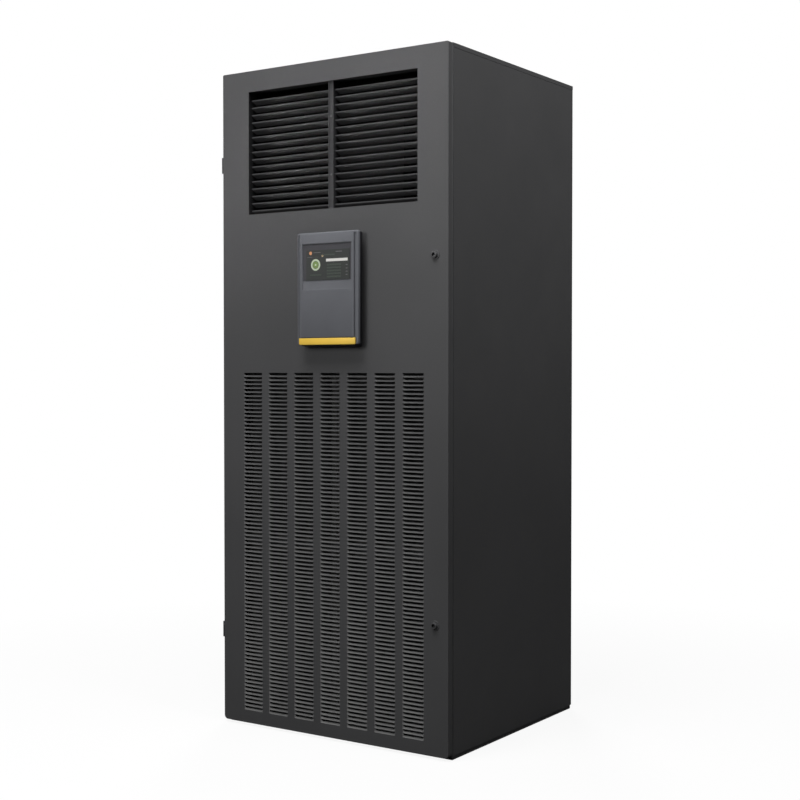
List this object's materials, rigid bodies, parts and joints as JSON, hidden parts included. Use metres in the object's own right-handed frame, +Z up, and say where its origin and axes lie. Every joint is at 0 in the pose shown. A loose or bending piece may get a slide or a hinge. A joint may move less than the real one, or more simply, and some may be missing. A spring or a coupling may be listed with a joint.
{
  "type": "computer room air conditioner",
  "caption": "Tall floor-standing room cooling cabinet with a hinged full-height door that carries an air outlet grille, pressed intake louvres, a display and quarter-turn locks.",
  "frame": {"origin": "on the floor, under the middle of the closed cabinet, on the underside of the base pan", "axes": "+X to the right seen from the front, +Y from the door to the back, +Z up"},
  "size_m": [0.819, 0.778, 1.97],
  "materials": {
    "cabinet_paint": "satin",
    "door_paint": "satin",
    "frame_paint": "satin",
    "grille_paint": "satin",
    "galvanised_sheet": "satin",
    "control_paint": "satin",
    "filter_media": "matte",
    "hinge_steel": "satin",
    "lock_metal": "satin",
    "housing_plastic": "satin",
    "bezel_plastic": "satin",
    "screen_glass": "gloss",
    "accent_plastic": "satin"
  },
  "bodies": {
    "cabinet": {"side_panel_left": "cabinet_paint", "side_panel_right": "cabinet_paint", "rear_panel": "cabinet_paint", "top_cover": "cabinet_paint", "base_pan": "frame_paint", "post_front_left": "frame_paint", "post_front_right": "frame_paint", "post_rear_left": "frame_paint", "post_rear_right": "frame_paint", "top_rail": "frame_paint", "middle_rail": "frame_paint", "lower_rail": "frame_paint", "supply_duct": "galvanised_sheet", "blower_deck": "galvanised_sheet", "blower_left": "galvanised_sheet", "blower_right": "galvanised_sheet", "filter_track_bottom": "galvanised_sheet", "filter_track_middle": "galvanised_sheet", "filter_track_top": "galvanised_sheet", "control_box": "control_paint", "control_cover": "control_paint", "filter_lower_left": "filter_media", "filter_lower_right": "filter_media", "filter_upper_left": "filter_media", "filter_upper_right": "filter_media", "frame_hinges": "hinge_steel"},
    "door": {"door_panel": "door_paint", "door_louvres": "door_paint", "door_stiffener_upper": "frame_paint", "door_stiffener_lower": "frame_paint", "grille_frame": "grille_paint", "grille_mullion": "door_paint", "grille_blades_left": "grille_paint", "grille_blades_right": "grille_paint", "display_housing": "housing_plastic", "display_bezel": "bezel_plastic", "display_screen": "screen_glass", "display_accent_bar": "accent_plastic", "door_hinges": "hinge_steel", "lock_barrels": "lock_metal"},
    "lock_upper": {"lock_plug_upper": "lock_metal"},
    "lock_lower": {"lock_plug_lower": "lock_metal"}
  },
  "joints": [
    {"name": "door_swing", "type": "hinge", "parent": "cabinet", "child": "door", "pos_m": [-0.409, -0.3585, 0.98], "axis": [0, 0, -1], "range_deg": [0, 110]},
    {"name": "upper_lock_turn", "type": "hinge", "parent": "door", "child": "lock_upper", "pos_m": [0.36, -0.36, 1.392], "axis": [0, -1, 0], "range_deg": [0, 90]},
    {"name": "lower_lock_turn", "type": "hinge", "parent": "door", "child": "lock_lower", "pos_m": [0.36, -0.36, 0.373], "axis": [0, -1, 0], "range_deg": [0, 90]}
  ]
}
